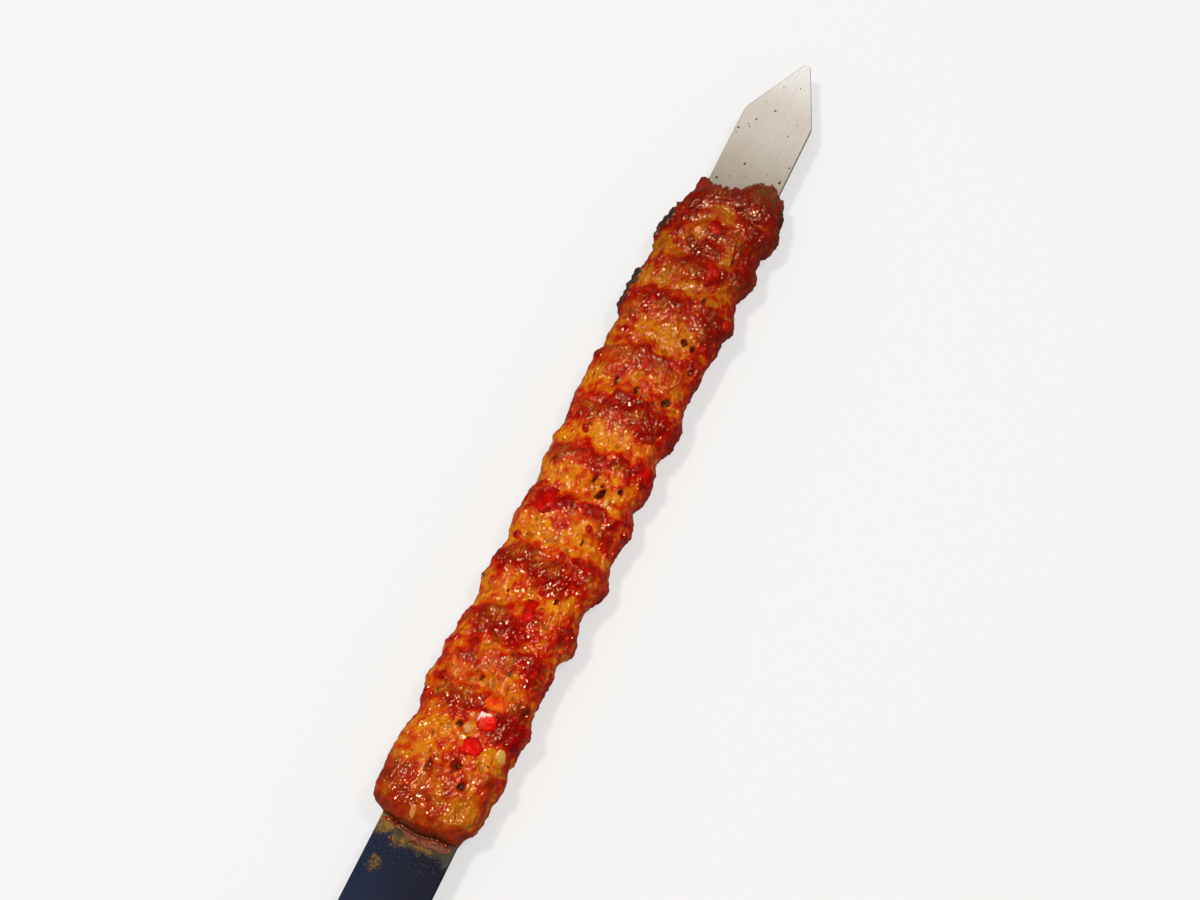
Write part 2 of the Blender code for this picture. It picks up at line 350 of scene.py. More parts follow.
def section(distance):
    """Left and right widths and half thickness of the meat at a distance along it."""
    left = float(np.interp(distance / MM, *LEFT_CURVE)) * MM
    right = float(np.interp(distance / MM, *RIGHT_CURVE)) * MM
    front = quarter_round((distance + 0.1 * MM) / FRONT_ROUNDING)
    back = quarter_round((FOLD * MM - distance) / BACK_ROUNDING)
    thin = BACK_EDGE if distance > MEAT_LENGTH / 2 else FRONT_EDGE
    thickness = thin + (HALF_THICKNESS - thin) * min(front, back)
    return left, right, thickness, min(front, back)


def warp(distance, across, upward):
    """Bends and scallops the crests, as the tips of fingers do."""
    place = Vector((distance, across * 20 * MM, upward * 12 * MM))
    bent = 3.0 * MM * uneven(place, 26 * MM, 3.0) + 5.0 * MM * uneven(place, 9 * MM, 7.0)
    bent += 2.2 * MM * uneven(place, 4 * MM, 9.0)
    slant = 4 * MM * min(across, 0.0) + 1 * MM * max(across, 0.0)
    return distance + bent - slant


def skin(distance, around):
    """A point on the meat's skin with its crests, without the finer lumps."""
    left, right, thickness, fullness = section(distance)
    across, upward = math.cos(around), math.sin(around)
    share, strength, next_strength = crest_phase(warp(distance, across, upward))
    wave = math.cos(2 * math.pi * share**LEAN)
    height = strength if share < THINNEST else next_strength
    swell = RIDGE_HEIGHT * wave * height * (0.25 + 0.75 * fullness)
    power = 2 / SECTION_POWER
    y = math.copysign(abs(across) ** power, across) * (left if across > 0 else right)
    z = math.copysign(abs(upward) ** power, upward) * (thickness + swell)
    return Vector((meat_high.x - distance, y, BLADE_MIDDLE + z))


def meat_rings():
    """Distances of the rings along the meat, closer together where it turns in."""
    distances = [0.0]
    while distances[-1] < MEAT_LENGTH:
        last = distances[-1]
        nearest_turn = min(last, abs(last - FOLD * MM), MEAT_LENGTH - last)
        distances.append(last + min(RING_STEP, 0.16 * MM + 0.16 * nearest_turn))
    distances[-1] = MEAT_LENGTH
    return distances


def ring_angles():
    """Angles of a ring's points, evenly spaced on the skin but closer on the upper half."""
    fine = np.linspace(0, 2 * math.pi, 1441)
    power = 2 / SECTION_POWER
    y = HALF_WIDTH * np.sign(np.cos(fine)) * np.abs(np.cos(fine)) ** power
    z = HALF_THICKNESS * np.sign(np.sin(fine)) * np.abs(np.sin(fine)) ** power
    weight = np.where(np.sin(fine[1:]) > -0.35, 1.0, 0.55)
    travelled = np.concatenate([[0], np.cumsum(np.hypot(np.diff(y), np.diff(z)) * weight)])
    wanted = np.arange(RING_SIDES) / RING_SIDES * travelled[-1]
    return [float(angle) for angle in np.interp(wanted, travelled, fine)]


# Where the mince has parted: how far along, how far across, half length and half width, depth.
HOLES = [
    (79, -9, 2, 1.2, 2.4), (79.5, -13, 1.6, 1.1, 2.2), (105, 8.5, 2.8, 0.8, 2.2),
    (106, -0.5, 2.3, 0.9, 2.2), (111, -3.6, 1.3, 1.3, 1.4), (108.3, -4.2, 1.2, 0.5, 1.4),
    (107.8, -9, 1.3, 0.6, 1.4), (105.2, -13, 2, 1.7, 2.6), (152, -6.5, 3.2, 1.6, 3),
    (147, -2, 2.4, 0.8, 1.8), (147.6, -13, 1.3, 1, 1.8), (34, 8, 2, 1.6, 1.6),
    (36, -12, 3.2, 0.8, 1.8), (255, 2, 1.2, 1.5, 1.8), (269.5, -4, 2.4, 1.8, 1.8),
    (275.5, -9, 1.6, 1.3, 2), (272.5, 5.5, 3, 1, 1.6), (198, -9.5, 1.2, 0.6, 1.6),
    (201, 9, 1.2, 0.9, 1.2), (59, -9, 3.6, 0.8, 1.4), (223, -4, 2, 0.8, 1.2),
    (126, 9.5, 1, 1, 1.2), (137.5, -6, 1, 0.9, 1.2), (173, -8.3, 1.4, 0.6, 1.4),
    (88, -16.8, 1.6, 0.8, 1.4), (235.5, 2.4, 1.2, 0.8, 1.4), (240, -17.5, 3, 1, 1.4),
    (29.5, -17, 2, 0.7, 1.2), (284, -0.5, 1.4, 1, 1.3), (144.5, 16.5, 1.4, 0.7, 1.2),
]

# Redder places (positive) and golden fatty ones (negative): how far along, how far across,
# half length, half width, and how much.
PATCHES = [
    (7, 0, 6, 22, 0.3), (18, 0, 5, 9, -0.5), (17, 14, 7, 6, 0.35), (20, -17, 12, 5, 0.4),
    (27, -1, 5, 4, 0.45), (31, -8, 4, 4, -0.3), (30, 16, 7, 5, 0.3), (29, 6, 4, 3, -0.5),
    (38, 3, 5, 9, 0.35), (37, 17, 7, 6, -0.4), (36, -8, 4, 3, -0.3), (40, -17, 8, 4, 0.35),
    (46, -5, 4, 5, 0.35), (50, -13, 6, 4, -0.3), (54, 3, 6, 14, -0.4), (64, 10, 6, 5, 0.3),
    (62, 2, 5, 5, 0.35), (70, -17, 9, 4, 0.4), (63, -15, 6, 4, 0.25), (78, 3, 7, 9, -0.4),
    (76, -10, 6, 5, -0.35), (94, 14, 5, 6, 0.25), (104, 17, 7, 6, -0.4), (103, 4, 5, 5, -0.3),
    (108, -15, 6, 4, -0.3), (113, -1, 5, 12, 0.3), (117, 14, 5, 5, 0.3), (117, -14, 6, 5, 0.35),
    (126, 9, 5, 4, -0.2), (130, 1, 5, 8, -0.4), (128, -14, 5, 5, -0.25), (131, 17, 6, 5, -0.4),
    (139, 13, 5, 7, 0.35), (137, -10, 5, 6, 0.3), (136, -1, 3, 4, 0.2), (150, 3, 7, 8, -0.4),
    (151, -12, 7, 6, -0.4), (151, 13, 6, 8, -0.40), (160, 14, 4, 5, 0.4), (158, 4, 4, 4, 0.45),
    (159, -6, 3, 4, 0.35), (165, -16, 8, 4, 0.25), (166, -6, 4, 5, -0.35), (172, 13, 6, 7, -0.5),
    (174, 2, 6, 6, -0.35), (174, -10, 7, 6, -0.4), (188, 12, 6, 6, 0.5), (187, 2, 5, 4, 0.3),
    (190, -5, 6, 4, 0.35), (184, -14, 6, 4, 0.15), (198, 10, 5, 8, -0.35), (197, -13, 6, 5, -0.35),
    (214, 8, 6, 6, 0.55), (218, -8, 6, 4, 0.2), (214, -12, 6, 6, -0.35), (223, 14, 4, 6, 0.2),
    (226, 20, 5, 3, 0.4), (235, -3, 5, 6, -0.3), (228, -13, 4, 4, 0.45), (243, 13, 6, 9, 0.5),
    (229, 1, 4, 7, 0.3), (243, 5, 5, 4, 0.2), (250, -15, 6, 5, 0.55), (256, 4, 4, 10, -0.35),
    (268, 14, 7, 6, -0.15), (262, -13, 5, 4, -0.5), (270, -6, 4, 4, 0.1), (282, 14, 7, 7, 0.45),
    (284, -12, 6, 6, -0.4), (293, -12, 4, 6, 0.2), (297, 0, 3, 18, 0.4),
]
PATCH_STRENGTH = 1.25

# Where the fat stands wet on the grains, and the shader paints it paler as sheen: how far along,
# how far across, half length and half width.
GLISTENING = [
    (7, 6, 3, 4), (29, 6, 3, 3), (28, -10, 3, 3), (51, 8.5, 4, 3), (48, 1, 2.5, 3),
    (46, -16, 2, 2), (56, 17, 3, 3), (68, 6.5, 3, 3), (72, 16, 3, 3), (72, -3, 3, 4),
    (73, -12.5, 3, 2), (80, -3.5, 3, 3), (78, 11, 2, 2), (93, 12, 4, 6), (94, -4.5, 2.5, 3),
    (96, -12, 3, 3), (102, 17, 3, 3.5), (101, 4, 2.5, 2), (108, -11, 3, 2), (123, 8, 4, 3),
    (130, 2, 2, 2), (126, -4, 3, 3), (119, 15, 2.5, 2.5), (127, -15, 3, 2), (117, -6, 2, 2),
    (142, 13, 3, 5), (147, 6, 2, 2.5), (140, -9, 2, 2), (147, -4.5, 3, 2), (150, 13, 3, 3),
    (172, 16, 3, 2.5), (173, 10, 2.5, 2), (175, 3, 3, 3), (175, -12, 3, 3), (166, -11, 3, 2),
    (161, 15, 2.5, 3), (165, -4, 2, 3), (185, 12.5, 3, 2.5), (186, 3, 3, 3), (188, -4, 2, 2),
    (186, -18, 2, 2), (200, 15, 2.5, 2.5), (207, 16, 2.5, 2), (211, 9, 3, 3), (209, -10, 3, 2.5),
    (199, -12, 3, 3), (224, 4, 3, 3), (231, 0, 3, 2), (234, 6.5, 2.5, 2.5), (235, 15, 3, 3.5),
    (227, -4, 3, 2), (243, 6, 4, 3.5), (244, 14, 4, 4), (252, 13, 2.5, 4), (260, 6, 3, 4),
    (265, 13, 3, 4), (257, -2, 2.5, 2), (261, -15, 3, 2), (267, -14, 4, 2.5), (274, 16, 4, 3.5),
    (280, 5, 3, 2), (275, 2, 2.5, 2), (282, -2, 3, 2.5), (282, -11, 5, 4), (291, 3.5, 4, 2),
    (285, 15, 2, 3), (291, -9, 3, 3), (239, -12, 4, 3), (216, 17, 2, 2),
]

# Charred on the side that hung nearest to the coals: how far along, how far across, half length,
# half width, and how much.
CHARRED = [
    (24, 24.5, 10, 5.5, 1), (61, 25, 11, 5.5, 1), (4.5, -20.5, 1.6, 1.6, 0.9),
    (196, 23.5, 2.5, 3, 0.6), (150, 23.5, 2, 2.5, 0.6),
]


# What the skin's colours go by, marked on each of its points from 0 to 1.
MARKS = ("reddened", "fatty", "hollow_shade", "charred", "glistening")


def oval(along, across, middle, side, half_length, half_width):
    """1 in the middle of an oval place on the meat, falling to 0 a little outside it."""
    squared = ((along - middle) / half_length) ** 2 + ((across - side) / half_width) ** 2
    return math.exp(-squared) if squared < 9 else 0.0


def put_in(name, contents):
    """An object in the scene that holds a mesh, a lamp or a camera."""
    thing = bpy.data.objects.new(name, contents)
    bpy.context.scene.collection.objects.link(thing)
    return thing


def finished(bm, name):
    """The bmesh as a smooth object in the scene."""
    mesh = bpy.data.meshes.new(name)
    bm.to_mesh(mesh)
    bm.free()
    mesh.shade_smooth()
    return put_in(name, mesh)


def make_meat():
    """The meat, and a tree of its faces by which other pieces find its skin."""
    bm = bmesh.new()
    bmesh.ops.create_circle(bm, segments=RING_SIDES, radius=1)
    marks = [bm.verts.layers.float.new(name) for name in MARKS]
    ring = list(bm.edges)
    turn = dict(zip(bm.verts, ring_angles()))
    homes = []

    def lay_ring(verts, distance, share):
        """Puts a ring on the skin. A share under 1 draws it in towards the blade's middle."""
        for vert in verts:
            point = skin(distance, turn[vert])
            rise = (point.z - BLADE_MIDDLE) * CORE_THICKNESS
            core = Vector((point.x, point.y * CORE_WIDTH, BLADE_MIDDLE + rise))
            vert.co = core.lerp(point, share)
            homes.append((vert, distance, turn[vert]))

    def grow(distance, share=1.0):
        nonlocal ring
        grown = bmesh.ops.extrude_edge_only(bm, edges=ring)["geom"]
        ring = [item for item in grown if isinstance(item, bmesh.types.BMEdge)]
        fresh = {item for item in grown if isinstance(item, bmesh.types.BMVert)}
        for vert in fresh:
            for edge in vert.link_edges:
                other = edge.other_vert(vert)
                if other not in fresh:
                    turn[vert] = turn[other]
        lay_ring([item for item in grown if isinstance(item, bmesh.types.BMVert)], distance, share)

    lay_ring(list(bm.verts), 0.0, 0.0)
    bmesh.ops.contextual_create(bm, geom=ring)
    for distance in meat_rings():
        grow(distance)
    grow(MEAT_LENGTH, 0.0)
    bmesh.ops.contextual_create(bm, geom=ring)
    bmesh.ops.recalc_face_normals(bm, faces=bm.faces)
    bm.normal_update()

    for vert, distance, around in homes:
        home = vert.co.copy()
        along, across = distance / MM, home.y / MM
        upper = home.z > BLADE_MIDDLE - 3 * MM
        warped = warp(distance, math.cos(around), math.sin(around))
        share, strength, next_strength = crest_phase(warped)

        # How red: most just behind a crest, least before the next one, and in blotches.
        fade = 1 - soft_step(share, 0.16, 0.62)
        onset = soft_step(share, 0.84, 0.95)
        reddened = 0.31 + 0.40 * max(fade * strength, onset * next_strength)
        reddened += 0.50 * uneven(home, 8 * MM, 1.0) + 0.30 * uneven(home, 3.0 * MM, 5.0)
        reddened += 0.42 * uneven(home, 4.2 * MM, 8.0) + 0.42 * uneven(home, 2.2 * MM, 13.0)
        # Redder towards the end by the point and just before the fold, a little less red towards
        # the handle end.
        reddened += 0.16 * soft_step(-along, -60, -10) - 0.06 * soft_step(along, 190, 260)
        reddened += 0.28 * soft_step(along, 286, 293)
        if upper:
            # The left edge of the top is made more golden, and the right edge a little redder.
            reddened -= 0.22 * soft_step(across, 14, 20)
            reddened += 0.03 * soft_step(-across, 14, 20)
            for middle, side, half_length, half_width, amount in PATCHES:
                if abs(along - middle) < 2.5 * half_length:
                    near = oval(along, across, middle, side, half_length, half_width)
                    reddened += PATCH_STRENGTH * amount * near
        else:
            reddened += 0.6 * uneven(home, 15 * MM, 11.0)
        reddened = min(max(reddened + 0.09, 0.0), 1.0)

        # Lumps of kneading, grains of mince, and strands drawn out in the pinches.
        grains = noise.voronoi(home / (2.1 * MM))[0][0]
        strands = uneven(Vector((home.x / 3.5, home.y, home.z)), 1.3 * MM, 2.0)
        lumps = 0.75 * uneven(home, 4.2 * MM, 8.0) + 0.45 * uneven(home, 2.2 * MM, 13.0)
        relief = 1.15 * uneven(home, 8.5 * MM, 4.0) + lumps
        relief += (0.20 + 0.30 * reddened) * (0.5 - grains)
        relief += (0.40 - 0.30 * reddened) * strands
        relief += 0.10 * uneven(home, 1.1 * MM, 9.0)
        # Painted shade darkens the recesses between strands and lumps.
        hollow_shade = soft_step(-strands, 0.38, 0.62) * soft_step(-reddened, -0.6, -0.2) * 0.35
        hollow_shade = max(hollow_shade, 0.26 * soft_step(-lumps, 0.16, 0.50))

        # Holes that go deep, with painted shade in them, darker the deeper they go.
        if upper:
            for middle, side, half_length, half_width, depth in HOLES:
                if abs(along - middle) < 3 * half_length and abs(across - side) < 3 * half_width:
                    ragged = 0.8 * uneven(home, 1.5 * MM, 6.0)
                    squared = ((along - middle) / half_length) ** 2
                    squared += ((across - side) / half_width) ** 2
                    reach = math.sqrt(squared) + ragged
                    depth_share = 1 - soft_step(reach, 0.4, 1.2)
                    relief -= depth * depth_share
                    hollow_shade = max(hollow_shade, depth_share * min(depth / 2.2, 1.0))
                    relief += 0.15 * math.exp(-((reach - 1.5) ** 2) * 5)

        # Wet fat, in places on the top and scattered elsewhere. The shader paints it paler, partly
        # as sheen.
        wet_and_sheen = 0.0
        if upper:
            for middle, side, half_length, half_width in GLISTENING:
                if abs(along - middle) < 2.5 * half_length:
                    near = oval(along, across, middle, side, half_length, half_width)
                    wet_and_sheen = max(wet_and_sheen, near)
            wet_and_sheen *= 1 + 1.2 * uneven(home, 2.6 * MM, 21.0)
        else:
            wet_and_sheen = soft_step(uneven(home, 5 * MM, 21.0), 0.1, 0.4) * 0.8
        relief += 0.25 * wet_and_sheen * (1 + 2.5 * uneven(home, 1.5 * MM, 23.0))

        # Black where it hung nearest to the coals.
        charred = 0.0
        for middle, side, half_length, half_width, amount in CHARRED:
            near = oval(along, across, middle, side, half_length, half_width)
            charred = max(charred, amount * near)
        charred += 0.5 * uneven(home, 2.5 * MM, 12.0) * soft_step(charred, 0.1, 0.4)
        charred = soft_step(charred, 0.30, 0.50)
        relief += charred * (1.0 + 0.9 * uneven(home, 1.8 * MM, 17.0))

        # The last pinch, with painted shade in its fold. Beyond it a thin lip goes from red to
        # amber at its edge.
        fold = along - FOLD
        crease = math.exp(-((fold / FOLD_WIDTH) ** 2))
        hollow_shade = max(hollow_shade, 0.85 * crease)
        lip = soft_step(fold, 0.2, 0.9)
        reddened = reddened * (1 - lip) + (1.0 - 0.12 * fold) * lip

        fullness = min(1.0, 0.30 + along / 8, max(0.14, 0.14 + (FOLD - along) / 8))
        vert.co = home + vert.normal * ((relief * fullness - FOLD_DEPTH * crease) * MM)
        vert.co.z = max(vert.co.z, 0.0)
        fatty = soft_step(uneven(home, 3.0 * MM, 15.0), 0.12, 0.45)
        amounts = (reddened, fatty, min(hollow_shade, 1.0), charred, min(max(wet_and_sheen, 0.0), 1.0))
        for mark, amount in zip(marks, amounts):
            vert[mark] = amount

    # The front edge is torn, further down the blade in some places than in others. The last
    # pinch bends the other end, and its lip is ragged.
    for vert, distance, _ in homes:
        side, height = vert.co.y / MM, vert.co.z / MM
        slack = 1 - soft_step(distance, 0, TORN_LENGTH)
        if slack > 0:
            reach = float(np.interp(side, *TORN_CURVE))
            if vert.co.z < BLADE_MIDDLE:
                reach = -1.5 + 3 * uneven(Vector((5, side, 0)), 9, 1.0)
            place = Vector((0, side, height))
            reach += 2.6 * uneven(place, 2.8, 1.0) + 1.6 * uneven(place, 1.2, 4.0)
            vert.co.x += reach * MM * slack
        place = Vector((3, side, height / 3))
        slack = 1 - soft_step(MEAT_LENGTH - distance, BENT_FROM, BENT_TO)
        if slack > 0:
            bow = 0.010 * min(abs(side + 3), 14) ** 2 + 1.2 * uneven(place, 8, 2.0)
            vert.co.x += bow * MM * slack
        slack = 1 - soft_step(MEAT_LENGTH - distance, 0, RAGGED_LENGTH)
        if slack > 0:
            ragged = 0.7 + 1.6 * uneven(place, 4.0, 1.0) + 0.6 * uneven(place, 1.6, 4.0)
            ragged += 1.4 * soft_step(side, -2, 6) + 1.2 * soft_step(-side, 11, 15)
            vert.co.x += ragged * MM * slack

    # Extrusion leaves points and faces in another order each time, so they are put in one: ring
    # by ring, and round each ring.
    full_turn = 2 * math.pi
    order = {
        vert: number // RING_SIDES * full_turn + around
        for number, (vert, _, around) in enumerate(homes)
    }

    def face_order(face):
        corners = [vert.index for vert in face.verts]
        return min(corners) + max(corners) / len(homes)

    bm.verts.sort(key=order.get)
    bm.verts.index_update()
    bm.faces.sort(key=face_order)
    tree = BVHTree.FromBMesh(bm)
    return finished(bm, "grilled_meat"), tree


def let_light_in(shader, share, tint, depth):
    """Lets a share of the light into soft food, red light deepest."""
    shader.inputs["Subsurface Weight"].default_value = share
    shader.inputs["Subsurface Radius"].default_value = tint
    shader.inputs["Subsurface Scale"].default_value = depth


def meat_finish():
    material, tree, shader = new_finish("grilled_mince")
    reddened, fatty, hollow_shade, charred, wet_and_sheen = [marked(tree, name) for name in MARKS]
    along, across = along_and_across(tree)
    mince = speckle(tree, 0.8 * MM, stretch=1.4, detail=4)
    clots = speckle(tree, 2.4 * MM, detail=3, shift=0.4)

    # Grains of mince with fibres over them.
    place = where(tree)
    inputs = {"Vector": place, "Scale": 0.5 / (1.2 * MM), "Detail": 2.0}
    wander = add(tree, "TexNoise", inputs).outputs["Color"]
    inputs = {"Fac": 0.0012, "Color1": place, "Color2": wander}
    shifted = add(tree, "MixRGB", inputs, blend_type="LINEAR_LIGHT").outputs[0]
    inputs = {"Vector": shifted, "Scale": 1 / (1.25 * MM), "Smoothness": 0.5}
    cells = add(tree, "TexVoronoi", inputs, feature="SMOOTH_F1").outputs["Distance"]
    grains = minus(tree, 1.0, cells)
    fibres = speckle(tree, 0.7 * MM, stretch=1.6, detail=0, shift=0.7)

    # The grain stands out in clusters, least where the surface has set smooth: on the lip, and on
    # the dry end by the point.
    clusters = between(tree, speckle(tree, 4.5 * MM, shift=0.6), 0.40, 0.56)
    clusters = maths(tree, "MAXIMUM", clusters, wet_and_sheen)
    clusters = spread(tree, clusters, 0.40, 1.1)
    on_lip = between(tree, along, meat_low.x + 5 * MM, meat_low.x + 3 * MM)
    at_front = between(tree, along, meat_high.x - 28 * MM, meat_high.x - 14 * MM)
    dry = maths(tree, "MAXIMUM", on_lip, times(tree, at_front, 0.85))
    clusters = times(tree, clusters, minus(tree, 1.0, times(tree, dry, 0.85)))
    fibres = times(tree, minus(tree, fibres, 0.5), clusters)

    shade = plus(tree, reddened, times(tree, minus(tree, mince, 0.5), 0.9))
    shade = plus(tree, shade, times(tree, minus(tree, clots, 0.5), 0.9))
    ramp = add(tree, "ValToRGB", {"Fac": shade})
    stops = [
        (0.00, paint(234, 138, 12)),
        (0.20, paint(223, 100, 3)),
        (0.42, paint(213, 53, 0)),
        (0.60, paint(199, 14, 0)),
        (0.80, paint(176, 3, 0)),
        (1.00, paint(142, 1, 0)),
    ]
    while len(ramp.color_ramp.elements) < len(stops):
        ramp.color_ramp.elements.new(0.5)
    for element, (position, colour) in zip(ramp.color_ramp.elements, stops):
        element.position = position
        element.color = colour
    colour = ramp.outputs["Color"]

    flecks = times(tree, between(tree, mince, 0.48, 0.70), times(tree, fatty, 0.45))
    colour = layer(tree, flecks, colour, paint(230, 144, 22))
    # Wet fat is painted paler: partly its own pale colour, partly painted sheen where the
    # highlights cluster.
    fat_film_and_sheen = times(tree, wet_and_sheen, plus(tree, between(tree, mince, 0.40, 0.58), 0.25))
    colour = layer(tree, times(tree, fat_film_and_sheen, 0.40), colour, paint(238, 146, 34))

    # Painted shade: dark red lines part the grains, where they dip between them.
    shade_between_grains = times(tree, between(tree, cells, 0.45, 0.8), 0.22)
    colour = layer(tree, shade_between_grains, colour, paint(140, 20, 2))

    # The meat is darker towards the end by the point, with a dry olive brown tongue at one side.
    # The handle end is browner, and its lip dark.
    darker_towards_point = between(tree, along, meat_high.x - 150 * MM, meat_high.x)
    colour = layer(tree, times(tree, darker_towards_point, 0.52), colour, paint(92, 20, 4))
    tongue = between(tree, along, meat_high.x - 11 * MM, meat_high.x - 1 * MM)
    tongue = times(tree, tongue, between(tree, across, -3 * MM, -9 * MM))
    tongue = times(tree, tongue, between(tree, clots, 0.34, 0.54))
    colour = layer(tree, times(tree, tongue, 0.75), colour, paint(112, 66, 18))
    last = between(tree, along, meat_low.x + 40 * MM, meat_low.x)
    colour = layer(tree, times(tree, last, 0.55), colour, paint(136, 52, 16))
    colour = layer(tree, times(tree, on_lip, 0.75), colour, paint(84, 16, 4))

    # Painted shade: hollows are darkened to red brown, and darker the deeper they go.
    colour = layer(tree, between(tree, hollow_shade, 0.05, 0.45), colour, paint(138, 34, 6))
    colour = layer(tree, between(tree, hollow_shade, 0.40, 0.95), colour, paint(78, 22, 8))
    burnt = times(tree, charred, between(tree, mince, 0.25, 0.5))
    colour = layer(tree, burnt, colour, paint(50, 40, 38))
    tree.links.new(colour, shader.inputs["Base Color"])

    rough = spread(tree, clots, 0.06, 0.16)
    rough = plus(tree, rough, times(tree, charred, 0.3))
    rough = plus(tree, rough, times(tree, on_lip, 0.40))
    rough = plus(tree, rough, times(tree, at_front, 0.11))
    tree.links.new(rough, shader.inputs["Roughness"])
    shader.inputs["Specular IOR Level"].default_value = 1.0
    shader.inputs["Specular Tint"].default_value = (1.0, 0.70, 0.42, 1)
    let_light_in(shader, 0.10, (1.0, 0.30, 0.10), 1.2 * MM)

    raise_surface(tree, shader, (grains, 0.7, 0.28 * MM), (fibres, 1.0, 0.7 * MM))
    return material


meat, meat_skin = make_meat()
meat.data.materials.append(meat_finish())
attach(meat, "root")
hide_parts("kofta_meat")


# ---- The diced pepper ----
# Sweet red pepper cut with a knife and kneaded into the mince. The heat has softened the cut
# edges and puckered the glossy skin, and pith still shows on one piece.


def pepper_finish(name, flesh, deep, pith=None):
    material, tree, shader = new_finish(name)
    streaks = speckle(tree, 1.8 * MM, stretch=1.5, detail=3)
    colour = layer(tree, between(tree, streaks, 0.38, 0.62), flesh, deep)
    # Painted shade darkens each piece towards its rim.
    colour = layer(tree, times(tree, marked(tree, "shaded_rim"), 0.75), colour, paint(128, 8, 3))
    if pith:
        colour = layer(tree, marked(tree, "pith"), colour, pith)
    tree.links.new(colour, shader.inputs["Base Color"])
    tree.links.new(spread(tree, streaks, 0.08, 0.20), shader.inputs["Roughness"])
    shader.inputs["Specular IOR Level"].default_value = 0.4
    shader.inputs["Specular Tint"].default_value = (1.0, 0.55, 0.36, 1)
    let_light_in(shader, 0.1, (1.0, 0.10, 0.05), 1.5 * MM)
    puckers = speckle(tree, 0.8 * MM, detail=3, shift=0.2)
    raise_surface(tree, shader, (puckers, 0.8, 0.5 * MM))
    return material


red_pepper = pepper_finish("red_pepper", paint(218, 14, 4), paint(158, 5, 2))
PEPPER_FINISHES = {
    "pepper_dice_1": pepper_finish("soft_pepper", paint(190, 24, 6), paint(148, 8, 3)),
    "pepper_dice_5": pepper_finish("orange_pepper", paint(248, 104, 8), paint(236, 44, 4)),
    "pepper_dice_6": pepper_finish(
        "pithy_pepper", paint(240, 14, 4), paint(220, 6, 2), pith=paint(252, 224, 200)
    ),
    "pepper_dice_7": pepper_finish("dark_pepper", paint(170, 8, 4), paint(126, 3, 2)),
    "pepper_dice_8": pepper_finish("bright_pepper", paint(236, 14, 4), paint(206, 6, 2)),
}

# How far a pressed-in chunk follows the skin under it, and at most how far up or down.
FOLLOWS = 0.65
MOST_LEVEL = 1.2 * MM
PEPPER_PROUD = 1.3 * MM
PEPPER_DEPTH = 2.4 * MM
PEPPER_SPREAD = 0.22  # how much wider the soft pieces have been pressed


def outward(place):
    """The direction straight out of the meat at a place on its skin."""
    left, right, thickness, _ = section(meat_high.x - place.x)
    width = left if place.y > 0 else right
    y = place.y / width
    z = (place.z - BLADE_MIDDLE) / thickness
    power = SECTION_POWER - 1
    sideways = math.copysign(abs(y) ** power, y) / width
    upward = math.copysign(abs(z) ** power, z) / thickness
    return Vector((0, sideways, upward)).normalized()


def skin_under(place, direction):
    """Where the meat's skin is below a place, looking back along a direction."""
    hit = meat_skin.ray_cast(place + direction * 9 * MM, -direction, 20 * MM)[0]
    return hit if hit is not None else place


def soften(bm, rounds):
    """Rounds a shape off a little more with each round."""
    for _ in range(rounds):
        bmesh.ops.smooth_vert(
            bm, verts=bm.verts, factor=0.5, use_axis_x=True, use_axis_y=True, use_axis_z=True
        )


def press_in(bm, direction, proud, depth):
    """Presses a chunk into the meat, so that its top follows the skin and stands proud of it."""
    centre = sum((vert.co for vert in bm.verts), Vector()) / len(bm.verts)
    offsets = [vert.co - centre for vert in bm.verts]
    reach = max(abs(offset.dot(direction)) for offset in offsets)
    side = max((offset - direction * offset.dot(direction)).length for offset in offsets)
    middle = skin_under(centre, direction)
    # How near each point is to the rim, which the finishes darken as painted shade.
    shaded_rim_layer = bm.verts.layers.float.new("shaded_rim")
    for vert, offset in zip(bm.verts, offsets):
        height = offset.dot(direction)
        flat = offset - direction * height
        surface = skin_under(centre + flat, direction)
        level = FOLLOWS * (surface - middle).dot(direction)
        level = min(max(level, -MOST_LEVEL), MOST_LEVEL)
        dome = proud * (1 - (flat.length / side) ** 2)
        share = height / reach
        top_or_bottom = dome if share > 0 else -depth
        edge = (dome - depth) / 2
        lift = edge + (top_or_bottom - edge) * abs(share)
        vert.co = middle + flat + direction * (level + lift)
        vert[shaded_rim_layer] = soft_step(flat.length / side, 0.55, 0.95)


